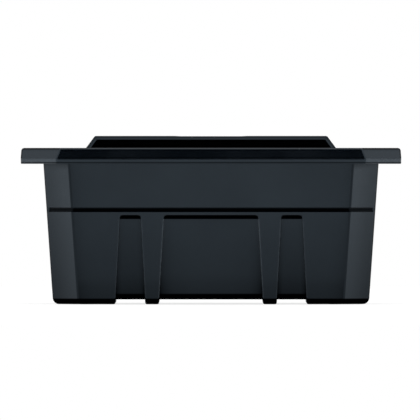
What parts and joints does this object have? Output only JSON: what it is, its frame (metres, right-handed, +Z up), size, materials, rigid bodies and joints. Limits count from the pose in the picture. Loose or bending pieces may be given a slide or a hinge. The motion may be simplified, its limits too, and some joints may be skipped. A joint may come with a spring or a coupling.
{
  "type": "resin wash station",
  "caption": "Hand-worked resin wash station: black moulded tub with ribbed walls, flip-up splash hood, slotted steel lift-out basket with fold-down bails, and a lever drain cock",
  "frame": {"origin": "on the floor, under the middle of the rim", "axes": "+X to the right of someone facing the front, -Y towards them, +Z up"},
  "size_m": [0.42, 0.3, 0.186],
  "materials": {
    "shell": "satin black moulded plastic with a fine grain",
    "rubber": "matt black rubber",
    "screw": "zinc-plated steel",
    "fitting": "dark grey glass-filled plastic",
    "sheet": "brushed stainless steel",
    "wire": "drawn stainless steel",
    "grip": "soft black moulded plastic",
    "lever": "dark red moulded plastic"
  },
  "bodies": {
    "base": {"tub": "shell", "foot_pads": "rubber", "rim_gasket": "rubber", "rim_frame": "shell", "rim_screws": "screw", "hinge_brackets": "fitting", "bracket_screws": "screw", "hinge_pins": "wire", "hood_buffers": "rubber", "drain_body": "fitting", "drain_washer": "rubber", "drain_nut": "fitting", "drain_strainer": "sheet", "drain_gland": "fitting"},
    "hood": {"splash_hood": "shell"},
    "basket": {"basket_floor": "sheet", "basket_front": "sheet", "basket_rear": "sheet", "basket_end_left": "sheet", "basket_end_right": "sheet", "basket_posts": "sheet", "basket_rim": "sheet", "basket_feet": "grip"},
    "left_bail": {"bail_left": "wire", "bail_grip_left": "grip", "bail_clips_left": "wire"},
    "right_bail": {"bail_right": "wire", "bail_grip_right": "grip", "bail_clips_right": "wire"},
    "cock": {"drain_cock": "wire", "cock_seal": "rubber", "drain_lever": "lever", "lever_screw": "screw"}
  },
  "joints": [
    {"name": "hood_hinge", "type": "hinge", "parent": "base", "child": "hood", "pos_m": [0, 0.1354, 0.1799], "axis": [-1, 0, 0], "range_deg": [0, 120]},
    {"name": "basket_lift", "type": "slide", "parent": "base", "child": "basket", "axis": [0, 0, 1], "range_m": [0, 0.17]},
    {"name": "left_bail_swing", "type": "hinge", "parent": "basket", "child": "left_bail", "pos_m": [-0.12898, 0, 0.1449], "axis": [0, -1, 0], "range_deg": [0, 145]},
    {"name": "right_bail_swing", "type": "hinge", "parent": "basket", "child": "right_bail", "pos_m": [0.12898, 0, 0.1449], "axis": [0, 1, 0], "range_deg": [0, 145]},
    {"name": "cock_turn", "type": "hinge", "parent": "base", "child": "cock", "pos_m": [0, 0.12768, 0.0444], "axis": [0, 0, 1], "range_deg": [0, 90]}
  ]
}
